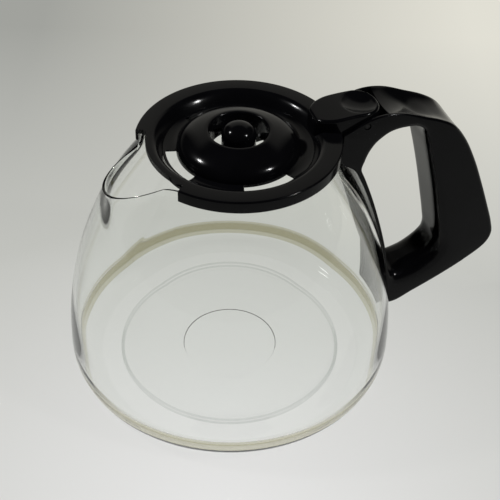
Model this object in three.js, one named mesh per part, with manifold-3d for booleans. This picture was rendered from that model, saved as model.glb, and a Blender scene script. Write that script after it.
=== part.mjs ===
// Coffee carafe: a blown glass jug with a pulled pouring lip, a black handle bonded to its side, and a
// drip-through lid that turns on a pin between the handle's two ears. Millimetres, +Z up. The jug's axis
// is Z and it stands on z = 0, with the handle towards +X and the pouring lip towards -X.
import * as THREE from 'three';
import { mergeVertices } from 'three/addons/utils/BufferGeometryUtils.js';
import Module from 'manifold-3d';

const wasm = await Module();
wasm.setup();

// Glass jug, outside
const bellyRadius = 77.5;
const heelWidth = 13.5;
const heelHeight = 15;
const bellyRise = 27;
const shoulderRadius = 60.6;
const shoulderHeight = 90.5;
const shoulderLean = 0.463;
const shoulderEase = 27;
const neckRadius = 40.8;
const neckEase = 20;
const rimEase = 5;
const rimHeight = 124.4;

// Glass jug, wall and base
const wallThickness = 2.2;
const floorThickness = 3.6;
const rimRound = 0.5;
const standingInnerRadius = 54;
const pushUp = 0.15;
const centreDiscRadius = 22.5;
const centreDiscLift = 0.6;
const baseStepRun = 1.5;

// Pouring lip
const lipReach = 17.6;
const lipDrop = 12.2;
const lipHalfAngle = 27;
const lipDropHalfAngle = 42;
const lipLean = 30;
const lipEase = 8;
const lipSharpness = 1.4;
const lipDropSharpness = 2.2;

// Lid
const lidOffset = 3;
const ringRadius = 45.5;
const ringThickness = 2.3;
const ringFlatRadius = 38.6;
const seatGap = 0.3;
const skirtDrop = 5.7;
const skirtThickness = 1.3;
const bowlRadius = 33;
const bowlDepth = 5;
const bowlSag = 0.6;
const lidShell = 1.8;
const bowlShell = 1.4;
const moundFootRadius = 27.2;
const moundRise = 4.2;
const drainHoleRadius = 13.1;
const drainHoleTaper = 1;
const tubeBelowFloor = 0.5;
const locatingRimRadius = 35.2;
const locatingRimDrop = 9.5;
const nubRadius = 7.6;
const nubRise = 7.1;
const nubDome = 5.6;
const ribThickness = 1.6;
const ribHeight = 2.8;
const ribCount = 4;
const ribTurn = 10;
const slotCount = 3;
const slotHalfAngle = 22;
const slotTurn = 98;
const slotSpacing = 90;
const slotInnerMargin = 0.1;
const slotOuterMargin = 1;
const notchRadius = 40.6;
const notchHalfAngle = 31.5;
const notchTurn = 6.5;
const notchCornerRadius = 2.5;

// Hinge
const pinRadius = 1.5;
const pinSetback = 10.1;
const pinRise = 1.8;
const pinClearance = 0.1;
const barrelRadius = 4.2;
const tongueWidth = 20.6;
const tongueRise = 7.2;
const tailRadius = 10.2;
const tailThickness = 3.8;
const thumbDishRadius = 8.8;
const thumbDishDepth = 2.2;
const thumbDishSetback = 0.9;
const noseInset = 0.5;
const noseDepth = 1.34;
const pocketSetback = 0.8;

// Handle
const handleWidth = 24.4;
const earClearance = 0.4;
const hingeClearance = 0.5;
const ringClearance = 0.8;
const bondLine = 0.9;
const bondGap = 0.25;
const bondWidth = 19;
const upperBondDrop = 16.9;
const upperBondHeight = 9.5;
const lowerBondLow = 20;
const lowerBondHeight = 32;
const legLow = 40;
const legSplit = 60;
const legTop = 99;
const legThickness = 1.4;
const legHeadThickness = 2.4;
const legRelief = 1.9;
const legEdge = 0.5;
const windowEdge = 4;
const outerEdge = 2;
const troughDepth = 3;
const archReach = 44.6;
const gripReach = 55.8;
const gripHeight = 110;

// Values that follow from the sizes above
const ringTop = rimHeight + seatGap + ringThickness;
const ringUnder = ringTop - ringThickness;
const skirtBottom = ringTop - skirtDrop;
const bowlFloor = ringTop - bowlDepth;
const moundTop = ringTop + moundRise;
const pinX = lidOffset + ringRadius + pinSetback;
const pinZ = ringTop + pinRise;
const tongueTop = ringTop + tongueRise;

const radians = THREE.MathUtils.degToRad;
const point = (x, y) => new THREE.Vector2(x, y);

// Solids for joining and cutting: shared corners merged, slivers at the axis left out
function solidOf(geometry) {
  const bare = geometry.clone();
  bare.deleteAttribute('normal');
  bare.deleteAttribute('uv');
  const merged = mergeVertices(bare, 1e-4);
  const corners = merged.index.array;
  const kept = [];
  for (let k = 0; k < corners.length; k += 3) {
    const [a, b, c] = corners.slice(k, k + 3);
    if (a !== b && b !== c && c !== a) kept.push(a, b, c);
  }
  return new wasm.Manifold(new wasm.Mesh({
    numProp: 3,
    vertProperties: Float32Array.from(merged.attributes.position.array),
    triVerts: Uint32Array.from(kept),
  }));
}

function geometryOf(solid) {
  const mesh = solid.getMesh();
  const geometry = new THREE.BufferGeometry();
  geometry.setAttribute('position', new THREE.BufferAttribute(new Float32Array(mesh.vertProperties), 3));
  geometry.setIndex(new THREE.BufferAttribute(new Uint32Array(mesh.triVerts), 1));
  geometry.computeVertexNormals();
  return geometry;
}

// A ring or disc turned about a vertical axis from (radius, height) points
function turned(points, segments, axisX = 0) {
  return new THREE.LatheGeometry(points, segments).rotateX(Math.PI / 2).translate(axisX, 0, 0);
}

// A shape drawn in (x, z) and given a width across the handle
function acrossHandle(shape, width, curveSegments = 10) {
  const options = { depth: width, bevelEnabled: false, curveSegments };
  return new THREE.ExtrudeGeometry(shape, options).rotateX(Math.PI / 2).translate(0, width / 2, 0);
}

// A shape drawn in plan and given a height
function upwards(shape, low, high, curveSegments = 10) {
  const options = { depth: high - low, bevelEnabled: false, curveSegments };
  return new THREE.ExtrudeGeometry(shape, options).translate(0, 0, low);
}

// The jug's outline, heel to rim, as (radius, height). lip runs from 0 at the round neck to 1 at the
// tip of the pouring lip, and drop says how far the rim has come down there.
function jugCurves(lip, drop) {
  const heel = new THREE.EllipseCurve(
    bellyRadius - heelWidth, heelHeight, heelWidth, heelHeight, -Math.PI / 2, 0);
  const shoulder = point(shoulderRadius, shoulderHeight);
  const lean = point(-shoulderLean, 1).normalize();
  const belly = new THREE.CubicBezierCurve(
    point(bellyRadius, heelHeight),
    point(bellyRadius, heelHeight + bellyRise),
    shoulder.clone().addScaledVector(lean, -shoulderEase),
    shoulder);
  const rim = point(neckRadius + lipReach * lip, rimHeight - rimRound - lipDrop * drop);
  const flare = radians(lipLean) * lip;
  const neckDirection = point(Math.sin(flare), Math.cos(flare));
  const neck = new THREE.CubicBezierCurve(
    shoulder,
    shoulder.clone().addScaledVector(lean, THREE.MathUtils.lerp(neckEase, lipEase, lip)),
    rim.clone().addScaledVector(neckDirection, -rimEase),
    rim);
  return { heel, belly, neck };
}

const roundJug = jugCurves(0, 0);
const wallLine = [...roundJug.heel.getPoints(8), ...roundJug.belly.getPoints(14).slice(1),
  ...roundJug.neck.getPoints(16).slice(1)];

function glassRadiusAt(height) {
  const above = wallLine.findIndex((p) => p.y > height);
  const high = wallLine[above];
  const low = wallLine[above - 1];
  return THREE.MathUtils.mapLinear(height, low.y, high.y, low.x, high.x);
}

// Blown glass jug: the outside is turned and pulled into a lip, the inside lies a wall away from it
const jugSegments = 64;
const lipCrowding = 0.5;

function jugStations(lip, drop) {
  const { heel, belly, neck } = jugCurves(lip, drop);
  const under = [
    point(0, centreDiscLift),
    point(centreDiscRadius, centreDiscLift),
    point(centreDiscRadius + baseStepRun, pushUp),
    point(standingInnerRadius - baseStepRun, pushUp),
    point(standingInnerRadius, 0),
  ];
  return [...under, ...heel.getPoints(4), ...belly.getPoints(5).slice(1), ...neck.getPoints(7).slice(1)];
}

function jugGeometry() {
  const round = jugStations(0, 0);
  const count = round.length;
  const outside = [];
  for (let i = 0; i <= jugSegments; i++) {
    const even = (2 * Math.PI * i) / jugSegments;
    const fromLip = even - lipCrowding * Math.sin(even);
    const off = THREE.MathUtils.radToDeg(Math.abs(fromLip > Math.PI ? 2 * Math.PI - fromLip : fromLip));
    const pull = Math.cos(radians(90 * Math.min(off / lipHalfAngle, 1))) ** lipSharpness;
    const lowering = Math.cos(radians(90 * Math.min(off / lipDropHalfAngle, 1))) ** lipDropSharpness;
    const angle = Math.PI + fromLip;
    outside.push(jugStations(pull, lowering).map(
      (p) => new THREE.Vector3(p.x * Math.cos(angle), p.x * Math.sin(angle), p.y)));
  }
  const inward = (i, j) => {
    if (j === 0) return new THREE.Vector3(0, 0, 1);
    const before = outside[(i + jugSegments - 1) % jugSegments][j];
    const after = outside[(i + 1) % jugSegments][j];
    const along = after.clone().sub(before);
    const up = outside[i][Math.min(j + 1, count - 1)].clone().sub(outside[i][j - 1]);
    return up.cross(along).normalize();
  };
  const thicknessAt = (height) => THREE.MathUtils.lerp(
    floorThickness, wallThickness, THREE.MathUtils.smoothstep(height, 0, 2 * heelHeight));
  const closed = [...round, round.at(-1), ...round.toReversed()];
  const jug = new THREE.LatheGeometry(closed, jugSegments);
  const place = jug.attributes.position;
  for (let i = 0; i <= jugSegments; i++) {
    const ring = i % jugSegments;
    for (let j = 0; j < closed.length; j++) {
      const mirror = j < count ? j : Math.max(closed.length - 1 - j, 0);
      const station = Math.min(mirror, count - 1);
      const spot = outside[ring][station].clone();
      const wall = thicknessAt(round[station].y);
      if (j > count) spot.addScaledVector(inward(ring, station), wall);
      if (j === count) {
        spot.addScaledVector(inward(ring, station), wall / 2);
        spot.z = outside[ring][station].z + rimRound;
      }
      place.setXYZ(i * closed.length + j, spot.x, spot.y, spot.z);
    }
  }
  return jug;
}

// The jug's outside, grown by a gap: cuts the handle to the glass and shapes the bond pads
function grownWall(gap) {
  return wallLine.map((p, k) => {
    const before = wallLine[Math.max(k - 1, 0)];
    const after = wallLine[Math.min(k + 1, wallLine.length - 1)];
    const along = after.clone().sub(before).normalize();
    return point(p.x + gap * along.y, p.y - gap * along.x);
  });
}

const envelopeSegments = 72;

function jugEnvelope(gap) {
  const wall = grownWall(gap);
  return solidOf(turned([point(0, -gap), ...wall, point(0, wall.at(-1).y)], envelopeSegments));
}

// Adhesive pad that fills the bond line between the glass and the handle
function bondPad(low, height) {
  const profile = [...grownWall(bondLine - bondGap), ...grownWall(bondGap).toReversed()];
  profile.push(profile[0].clone());
  const strip = new THREE.BoxGeometry(2 * bellyRadius, bondWidth, height);
  strip.translate(bellyRadius, 0, low + height / 2);
  return geometryOf(solidOf(turned(profile, envelopeSegments)).intersect(solidOf(strip)));
}

// Handle: a loop of rounded sections. Each station pairs a point on the finger window with one on the
// outside of the loop, with the rounding of the edges on both, the depth of the thumb trough and how far
// the section wraps round the glass. Points are shares of the arch's reach from the pin, or of the grip's
// reach from the belly and its height; roundings and depths are shares of their named sizes.
const fromPin = (x, z) => new THREE.Vector3(pinX + archReach * x, 0, pinZ + archReach * z);
const fromBelly = (x, z) => new THREE.Vector3(bellyRadius + gripReach * x, 0, gripHeight * z);
const offGlass = (gap, z) => new THREE.Vector3(glassRadiusAt(z) + gap, 0, z);

function legStation(share) {
  const z = THREE.MathUtils.lerp(legLow, legTop, share);
  const free = Math.max((z - legSplit) / (legTop - legSplit), 0) ** 2;
  const gap = bondLine + legRelief * free;
  const thickness = THREE.MathUtils.lerp(legThickness, legHeadThickness, free);
  return [offGlass(gap + thickness, z), offGlass(gap, z), legEdge / windowEdge, legEdge / outerEdge, 0, 1];
}

const loopStations = [
  ...[0, 0.2, 0.4, 0.6, 0.8, 1].map(legStation),
  [fromPin(0.004, -0.534), offGlass(bondLine + legRelief, rimHeight - 1.12 * upperBondDrop),
    0.3, 0.4, 0, 0.6],
  [fromPin(0.027, -0.435), offGlass(-wallThickness, rimHeight - 0.73 * upperBondDrop), 0.6, 0.5, 0, 0],
  [fromPin(0.076, -0.332), offGlass(-wallThickness, rimHeight - 0.35 * upperBondDrop), 0.8, 0.5, 0, 0],
  [fromPin(0.143, -0.242), fromPin(-0.314, -0.096), 0.9, 0.4, 0, 0],
  [fromPin(0.209, -0.186), fromPin(-0.191, -0.031), 0.9, 0.35, 0, 0],
  [fromPin(0.278, -0.148), fromPin(0, 0.058), 0.9, 0.35, 0, 0],
  [fromPin(0.359, -0.13), fromPin(0.179, 0.094), 0.9, 0.4, 0.7, 0],
  [fromPin(0.46, -0.126), fromPin(0.381, 0.072), 0.85, 0.5, 1, 0],
  [fromPin(0.561, -0.139), fromPin(0.628, -0.022), 0.8, 0.6, 1, 0],
  [fromPin(0.632, -0.184), fromPin(0.841, -0.112), 0.8, 0.75, 0.7, 0],
  [fromPin(0.67, -0.269), fromPin(1, -0.215), 0.9, 1, 0.2, 0],
  [fromBelly(0.235, 0.99), fromBelly(0.579, 1.005), 1, 1, 0, 0],
  [fromBelly(0.294, 0.877), fromBelly(0.701, 0.882), 1.1, 1, 0, 0],
  [fromBelly(0.355, 0.75), fromBelly(0.803, 0.753), 1.15, 1, 0, 0],
  [fromBelly(0.41, 0.618), fromBelly(0.901, 0.618), 1.25, 1, 0, 0],
  [fromBelly(0.453, 0.5), fromBelly(0.977, 0.505), 1.5, 1, 0, 0],
  [fromBelly(0.464, 0.445), fromBelly(1, 0.441), 1.75, 1, 0, 0],
  [fromBelly(0.443, 0.404), fromBelly(0.959, 0.389), 2, 1, 0, 0],
  [fromBelly(0.385, 0.375), fromBelly(0.78, 0.318), 2.15, 1, 0, 0],
  [fromBelly(0.278, 0.345), fromBelly(0.529, 0.245), 2.25, 1, 0, 0],
  [fromBelly(0.17, 0.324), fromBelly(0.278, 0.184), 2, 1, 0, 0],
  [fromBelly(0.088, 0.311), fromBelly(0.09, 0.145), 1.5, 0.8, 0, 0.3],
  [fromBelly(0.056, 0.315), fromBelly(-0.036, 0.164), 0.75, 0.5, 0, 0.6],
  [fromBelly(0.039, 0.331), fromBelly(-0.054, 0.273), 0.25, 0.5, 0, 1],
];

const loopSections = 60;
const cornerSteps = 3;

function cornerPoints(along, across, radius, start) {
  const points = [];
  for (let k = 0; k <= cornerSteps; k++) {
    const turn = start + (k / cornerSteps) * Math.PI / 2;
    points.push(point(along + radius * Math.cos(turn), across + radius * Math.sin(turn)));
  }
  return points;
}

// One section as (distance from the window, distance across the handle) points
function sectionOutline(depth, windowRound, outerRound, dish) {
  const half = handleWidth / 2;
  const innerFlat = half - windowRound;
  const outerFlat = half - outerRound;
  const dished = [-0.75, -0.5, 0, 0.5, 0.75].map(
    (share) => point(depth - dish * (1 - share * share), outerFlat * share));
  return [
    ...cornerPoints(depth - outerRound, -outerFlat, outerRound, -Math.PI / 2),
    ...dished,
    ...cornerPoints(depth - outerRound, outerFlat, outerRound, 0),
    ...cornerPoints(windowRound, innerFlat, windowRound, Math.PI / 2),
    point(0, innerFlat / 2),
    point(0, 0),
    point(0, -innerFlat / 2),
    ...cornerPoints(windowRound, -innerFlat, windowRound, Math.PI),
  ];
}

function loopGeometry() {
  const curve = (pick) => new THREE.CatmullRomCurve3(loopStations.map(pick), true, 'centripetal');
  const windowLine = curve((s) => s[0]);
  const outerLine = curve((s) => s[1]);
  const edges = curve((s) => new THREE.Vector3(s[2] * windowEdge, s[3] * outerEdge, s[4] * troughDepth));
  const wraps = curve((s) => new THREE.Vector3(s[5], 0, 0));
  const positions = [];
  let corners = 0;
  for (let k = 0; k < loopSections; k++) {
    const share = k / loopSections;
    const inner = windowLine.getPoint(share);
    const outward = outerLine.getPoint(share).sub(inner);
    const depth = outward.length();
    outward.normalize();
    const [windowRound, outerRound, dish] = edges.getPoint(share).toArray().map((v) => Math.max(v, 0));
    const wrap = THREE.MathUtils.clamp(wraps.getPoint(share).x, 0, 1);
    const outline = sectionOutline(depth, windowRound, outerRound, dish);
    corners = outline.length;
    for (const p of outline) {
      const spot = inner.clone().addScaledVector(outward, p.x);
      const bow = spot.x - Math.sqrt(spot.x ** 2 - p.y ** 2);
      positions.push(spot.x - wrap * bow, p.y, spot.z);
    }
  }
  const index = [];
  for (let k = 0; k < loopSections; k++) {
    const next = (k + 1) % loopSections;
    for (let c = 0; c < corners; c++) {
      const after = (c + 1) % corners;
      const a = k * corners + c;
      const b = k * corners + after;
      const d = next * corners + c;
      const e = next * corners + after;
      index.push(a, d, b, b, d, e);
    }
  }
  const loop = new THREE.BufferGeometry();
  loop.setAttribute('position', new THREE.Float32BufferAttribute(positions, 3));
  loop.setIndex(index);
  return loop;
}

function pinHole(radius) {
  return solidOf(new THREE.CylinderGeometry(radius, radius, 2 * handleWidth, 24).translate(pinX, 0, pinZ));
}

// Space between the ears: room for the tongue, and a pocket for its tail to swing down into
function hingeSlot() {
  const floor = pinZ - barrelRadius - hingeClearance;
  const pocket = tailRadius + hingeClearance;
  const clear = ringTop + ringRadius;
  const shape = new THREE.Shape();
  shape.moveTo(lidOffset, floor);
  shape.lineTo(pinX + pocketSetback, floor);
  shape.absarc(pinX, pinZ, pocket, -Math.acos(pocketSetback / pocket), 0, false);
  shape.lineTo(pinX + pocket, clear);
  shape.lineTo(lidOffset, clear);
  return solidOf(acrossHandle(shape, tongueWidth + 2 * earClearance));
}

function handleGeometry() {
  const reach = ringRadius + ringClearance;
  const lidRoom = new THREE.CylinderGeometry(reach, reach, ringRadius, envelopeSegments).rotateX(Math.PI / 2);
  lidRoom.translate(lidOffset, 0, skirtBottom - ringClearance + ringRadius / 2);
  const handle = solidOf(loopGeometry())
    .subtract(jugEnvelope(bondLine))
    .subtract(solidOf(lidRoom))
    .subtract(hingeSlot())
    .subtract(pinHole(pinRadius + pinClearance));
  return geometryOf(handle);
}

// Lid: a turned ring, bowl and mound
const lidSegments = 52;
const nubSegments = 20;
const edgeRound = 0.8;

function lidShellSolid() {
  const moundRun = moundFootRadius - drainHoleRadius - 2 * edgeRound;
  const moundPoint = (inwards, up) => point(
    moundFootRadius - moundRun * inwards, bowlFloor + (moundTop - bowlFloor) * up);
  const mound = new THREE.SplineCurve([
    moundPoint(0, 0),
    moundPoint(0.09, 0.33),
    moundPoint(0.29, 0.6),
    moundPoint(0.6, 0.81),
    moundPoint(1, 0.99),
  ]);
  const moundOver = mound.getPoints(6);
  const moundUnder = moundOver.slice(0, -1).map(
    (p, k) => point(p.x - lidShell * 0.7, p.y - (k > 0 ? lidShell : bowlShell)));
  const funnel = new THREE.CubicBezierCurve(
    point(ringFlatRadius, ringTop),
    point(THREE.MathUtils.lerp(ringFlatRadius, bowlRadius, 0.36), ringTop),
    point(THREE.MathUtils.lerp(bowlRadius, ringFlatRadius, 0.34), bowlFloor + 0.56 * bowlDepth),
    point(bowlRadius, bowlFloor));
  const trough = new THREE.QuadraticBezierCurve(
    point(bowlRadius, bowlFloor),
    point((bowlRadius + moundFootRadius) / 2, bowlFloor - 2 * bowlSag),
    point(moundFootRadius, bowlFloor));
  const tubeBottom = bowlFloor - tubeBelowFloor;
  const tubeRadius = drainHoleRadius - drainHoleTaper;
  const profile = [
    point(ringRadius - skirtThickness, skirtBottom),
    point(ringRadius, skirtBottom),
    point(ringRadius, ringTop - edgeRound),
    point(ringRadius - edgeRound, ringTop),
    ...funnel.getPoints(4),
    ...trough.getPoints(4).slice(1, -1),
    ...moundOver,
    point(drainHoleRadius + edgeRound, moundTop),
    point(drainHoleRadius, moundTop - edgeRound),
    point(tubeRadius, tubeBottom),
    point(tubeRadius + lidShell, tubeBottom),
    ...moundUnder.toReversed(),
    point(locatingRimRadius - lidShell, bowlFloor - bowlShell),
    point(locatingRimRadius - lidShell, ringTop - locatingRimDrop),
    point(locatingRimRadius, ringTop - locatingRimDrop),
    point(locatingRimRadius, ringUnder),
    point(ringRadius - skirtThickness, ringUnder),
    point(ringRadius - skirtThickness, skirtBottom),
  ];
  return solidOf(turned(profile, lidSegments, lidOffset));
}

// Central nub that lifts the brewer's drip stop, carried on ribs across the drain hole
function nubSolid() {
  const spring = ringTop + nubRise - nubDome;
  const low = bowlFloor - tubeBelowFloor;
  const dome = new THREE.EllipseCurve(0, spring, nubRadius, nubDome, 0, Math.PI / 2);
  const hollow = new THREE.EllipseCurve(0, spring, nubRadius - lidShell, nubDome - lidShell, 0, Math.PI / 2);
  const profile = [
    point(nubRadius, low),
    ...dome.getPoints(5),
    ...hollow.getPoints(4).toReversed(),
    point(nubRadius - lidShell, low),
    point(nubRadius, low),
  ];
  for (const p of profile) p.x = p.x < 1e-6 ? 0 : p.x;
  let nub = solidOf(turned(profile, nubSegments, lidOffset));
  const start = nubRadius - lidShell / 2;
  const length = drainHoleRadius - start;
  for (let k = 0; k < ribCount; k++) {
    const rib = new THREE.BoxGeometry(length, ribThickness, ribHeight);
    rib.translate(start + length / 2, 0, bowlFloor + ribHeight / 2);
    rib.rotateZ(radians(ribTurn + (360 * k) / ribCount)).translate(lidOffset, 0, 0);
    nub = nub.add(solidOf(rib));
  }
  return nub;
}

// Tongue from the ring to the pin: a steep nose that grows out of the bowl's wall, a thumb dish over the
// pin and a tail past it
function tongueSolid() {
  const root = lidOffset + bowlRadius + noseInset;
  const run = ringRadius - bowlRadius - noseInset;
  const inside = ringUnder + 0.1 * ringThickness;
  const tailEnd = Math.asin((tongueTop - pinZ) / tailRadius);
  const tailUnder = tongueTop - tailThickness - pinZ;
  const side = new THREE.Shape();
  const noseFoot = bowlFloor + 0.12 * bowlDepth;
  const noseBack = root + noseDepth;
  side.moveTo(root, noseFoot);
  const along = (share) => root + run * share;
  const rise = (share) => ringTop + tongueRise * share;
  side.lineTo(root, rise(0.45));
  side.bezierCurveTo(root, rise(0.68), along(0.12), rise(0.74), along(0.26), rise(0.78));
  side.bezierCurveTo(along(0.7), rise(0.9), pinX - 2 * barrelRadius, tongueTop, pinX, tongueTop);
  side.lineTo(pinX + tailRadius * Math.cos(tailEnd), tongueTop);
  side.absarc(pinX, pinZ, tailRadius, tailEnd, Math.asin(tailUnder / tailRadius), true);
  side.absarc(pinX, pinZ, barrelRadius, Math.asin(tailUnder / barrelRadius), -Math.PI / 2, true);
  side.lineTo(lidOffset + ringRadius, inside);
  side.lineTo(noseBack + 0.3 * lidShell, inside);
  side.lineTo(noseBack, inside - 0.4 * lidShell);
  side.lineTo(noseBack, noseFoot);
  const half = tongueWidth / 2;
  const plan = new THREE.Shape();
  plan.moveTo(along(-0.01), -0.4 * half);
  plan.quadraticCurveTo(along(0.3), -half, along(1), -half);
  plan.lineTo(pinX, -half);
  plan.absarc(pinX, 0, half, -Math.PI / 2, Math.PI / 2, false);
  plan.lineTo(along(1), half);
  plan.quadraticCurveTo(along(0.3), half, along(-0.01), 0.4 * half);
  const dishBall = (thumbDishRadius ** 2 + thumbDishDepth ** 2) / (2 * thumbDishDepth);
  const dish = new THREE.SphereGeometry(dishBall, 48, 32).rotateX(Math.PI / 2);
  dish.translate(pinX + thumbDishSetback, 0, tongueTop + dishBall - thumbDishDepth);
  return solidOf(acrossHandle(side, tongueWidth))
    .intersect(solidOf(upwards(plan, ringUnder - pinSetback, tongueTop + pinSetback)))
    .subtract(solidOf(dish));
}

// Three drain slots at the foot of the mound, none on the hinge's side
function slotCutter(turn) {
  const shape = new THREE.Shape();
  const start = radians(turn - slotHalfAngle);
  const end = radians(turn + slotHalfAngle);
  shape.absarc(0, 0, bowlRadius - slotOuterMargin, start, end, false);
  shape.absarc(0, 0, moundFootRadius + slotInnerMargin, end, start, true);
  const cutter = upwards(shape, bowlFloor - 2 * lidShell, bowlFloor + lidShell, 8);
  return solidOf(cutter.translate(lidOffset, 0, 0));
}

// Notch over the pouring lip, with rounded inner corners, turned a little off the handle's line
function notchCutter() {
  const beyond = ringRadius + notchCornerRadius;
  const side = radians(notchHalfAngle);
  const ease = Math.asin(notchCornerRadius / (notchRadius + notchCornerRadius));
  const ray = (r, angle) => point(-r * Math.cos(angle), r * Math.sin(angle));
  const shape = new THREE.Shape();
  const corner = (sign) => ray(notchRadius, sign * side);
  const outer = (sign) => ray(beyond, sign * side);
  const inner = (sign) => ray(notchRadius + notchCornerRadius, sign * side);
  shape.moveTo(outer(1).x, outer(1).y);
  shape.lineTo(inner(1).x, inner(1).y);
  const first = ray(notchRadius, side - ease);
  shape.quadraticCurveTo(corner(1).x, corner(1).y, first.x, first.y);
  shape.absarc(0, 0, notchRadius, Math.PI - side + ease, Math.PI + side - ease, false);
  shape.quadraticCurveTo(corner(-1).x, corner(-1).y, inner(-1).x, inner(-1).y);
  shape.lineTo(outer(-1).x, outer(-1).y);
  shape.lineTo(2 * outer(-1).x, outer(-1).y);
  shape.lineTo(2 * outer(1).x, outer(1).y);
  const cutter = upwards(shape, skirtBottom - notchCornerRadius, ringTop + notchCornerRadius);
  return solidOf(cutter.rotateZ(radians(notchTurn)).translate(lidOffset, 0, 0));
}

function lidGeometry() {
  let lid = lidShellSolid().subtract(notchCutter());
  for (let k = 0; k < slotCount; k++) lid = lid.subtract(slotCutter(slotTurn + slotSpacing * k));
  lid = lid.add(nubSolid()).add(tongueSolid()).subtract(pinHole(pinRadius + pinClearance));
  return geometryOf(lid);
}

// Materials
const clearGlass = new THREE.MeshStandardMaterial({
  color: '#e9eeea', roughness: 0.03, metalness: 0, transparent: true, opacity: 0.3 });
const blackPlastic = new THREE.MeshStandardMaterial({ color: '#0d0d0e', roughness: 0.16, metalness: 0 });
const blackNylon = new THREE.MeshStandardMaterial({ color: '#161617', roughness: 0.45, metalness: 0 });
const blackSilicone = new THREE.MeshStandardMaterial({ color: '#26282a', roughness: 0.6, metalness: 0 });

function piece(name, geometry, material) {
  const mesh = new THREE.Mesh(geometry, material);
  mesh.name = name;
  return mesh;
}

const carafe = new THREE.Group();
const pinGeometry = new THREE.CylinderGeometry(pinRadius, pinRadius, handleWidth - 2 * earClearance, 24);
carafe.add(
  piece('glass_jug', jugGeometry(), clearGlass),
  piece('handle', handleGeometry(), blackPlastic),
  piece('upper_bond_pad', bondPad(rimHeight - upperBondDrop, upperBondHeight), blackSilicone),
  piece('lower_bond_pad', bondPad(lowerBondLow, lowerBondHeight), blackSilicone),
  piece('hinge_pin', pinGeometry.translate(pinX, 0, pinZ), blackNylon),
  piece('lid', lidGeometry(), blackPlastic),
);

export default carafe;
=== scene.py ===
import math

import bmesh
import bpy
from mathutils import Matrix, Vector


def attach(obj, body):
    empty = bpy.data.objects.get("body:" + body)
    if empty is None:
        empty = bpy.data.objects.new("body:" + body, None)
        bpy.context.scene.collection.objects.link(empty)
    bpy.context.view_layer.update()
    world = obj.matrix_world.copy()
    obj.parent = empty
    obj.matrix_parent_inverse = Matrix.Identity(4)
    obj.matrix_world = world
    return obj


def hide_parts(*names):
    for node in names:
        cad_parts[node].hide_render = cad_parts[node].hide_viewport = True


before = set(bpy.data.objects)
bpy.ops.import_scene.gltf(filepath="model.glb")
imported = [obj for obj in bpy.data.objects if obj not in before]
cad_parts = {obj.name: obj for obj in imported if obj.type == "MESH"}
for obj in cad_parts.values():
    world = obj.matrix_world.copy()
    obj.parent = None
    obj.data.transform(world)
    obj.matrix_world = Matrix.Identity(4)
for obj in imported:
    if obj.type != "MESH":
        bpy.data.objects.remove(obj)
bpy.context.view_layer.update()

# Jug. Blown borosilicate glass with a wall of about two millimetres, fire polished: a round belly on a
# rounded heel, a neck that the lid covers, and a lip drawn out of the soft rim opposite the handle. The
# wall is one closed outline turned round the axis; the lip pulls the upper stations out and down.
MM = 0.001  # sizes are written in millimetres, and meshes are in metres
BELLY_RADIUS, HEEL_WIDTH, HEEL_HEIGHT, BELLY_RISE = 77.5, 13.5, 15.0, 27.0
SHOULDER, SHOULDER_EASE = Vector((60.6, 90.5)), 27.0
SHOULDER_LEAN = Vector((-0.463, 1.0)).normalized()
NECK_RADIUS, NECK_EASE, RIM_EASE, RIM_HEIGHT, RIM_ROUND = 40.8, 20.0, 5.0, 124.4, 0.5
WALL, HEEL_WALL, RIM_WALL, FLOOR_TOP = 2.2, 2.6, 1.3, 3.9
STANDING_INNER, STANDING_EASE, PUSH_UP = 54.0, 5.0, 0.15
DISC_RADIUS, DISC_LIFT, DISC_STEP = 22.5, 0.6, 0.8
BAND_LOW, BAND_HIGH, BAND_DEPTH, BAND_EDGE = 8.6, 14.8, 0.45, 0.3
BEAD_RADIUS, BEAD_HALF, BEAD_RISE = 53.4, 0.9, 0.15
LIP_REACH, LIP_DROP, LIP_LEAN, LIP_EASE = 17.6, 12.2, math.radians(30), 8.0
HEEL_STEPS, BELLY_STEPS, NECK_STEPS, CREST_STEPS = 12, 24, 36, 8
# Radii on the flats, outwards under the base and then inwards over the floor inside. Those next to a step
# stand close to it, which keeps its smooth shading narrow.
DISC_FLAT, PUSH_UP_FLAT, STANDING_FLAT = [0, 8, 16, 21], [27, 34, 42], [57, 60.5]
FLOOR_EDGE, FLOOR_FLAT = [61, 57], [48, 40, 30, 20, 10, 0]


def add_node(tree, kind, inputs, **settings):
    """Adds one node: its settings, then each input as a value or as a link from another node's output."""
    node = tree.nodes.new(kind)
    for name, value in settings.items():
        setattr(node, name, value)
    for socket, value in inputs.items():
        if isinstance(value, bpy.types.NodeSocket):
            tree.links.new(value, node.inputs[socket])
        else:
            node.inputs[socket].default_value = value
    return node


def linear(colour):
    """An sRGB hex colour as linear red, green, blue and full alpha."""
    parts = [int(colour[k:k + 2], 16) / 255 for k in (1, 3, 5)]
    return [p / 12.92 if p <= 0.04045 else ((p + 0.055) / 1.055) ** 2.4 for p in parts] + [1.0]


def bezier(a, b, c, d, t):
    """A point of the curve that starts at a towards b and ends at d from c, at a share t of the way."""
    s = 1 - t
    return a * s ** 3 + b * (3 * s * s * t) + c * (3 * s * t * t) + d * t ** 3


def eased(low, high, value):
    """Rises smoothly from 0 at low to 1 at high."""
    share = min(max((value - low) / (high - low), 0), 1)
    return share * share * (3 - 2 * share)


def underside(radius):
    """Height of the base's underside: a centre disc, a shallow push-up and the ring that it stands on."""
    out = eased(DISC_RADIUS, DISC_RADIUS + DISC_STEP, radius)
    down = eased(STANDING_INNER - STANDING_EASE, STANDING_INNER, radius)
    return (DISC_LIFT + (PUSH_UP - DISC_LIFT) * out) * (1 - down)


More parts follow.
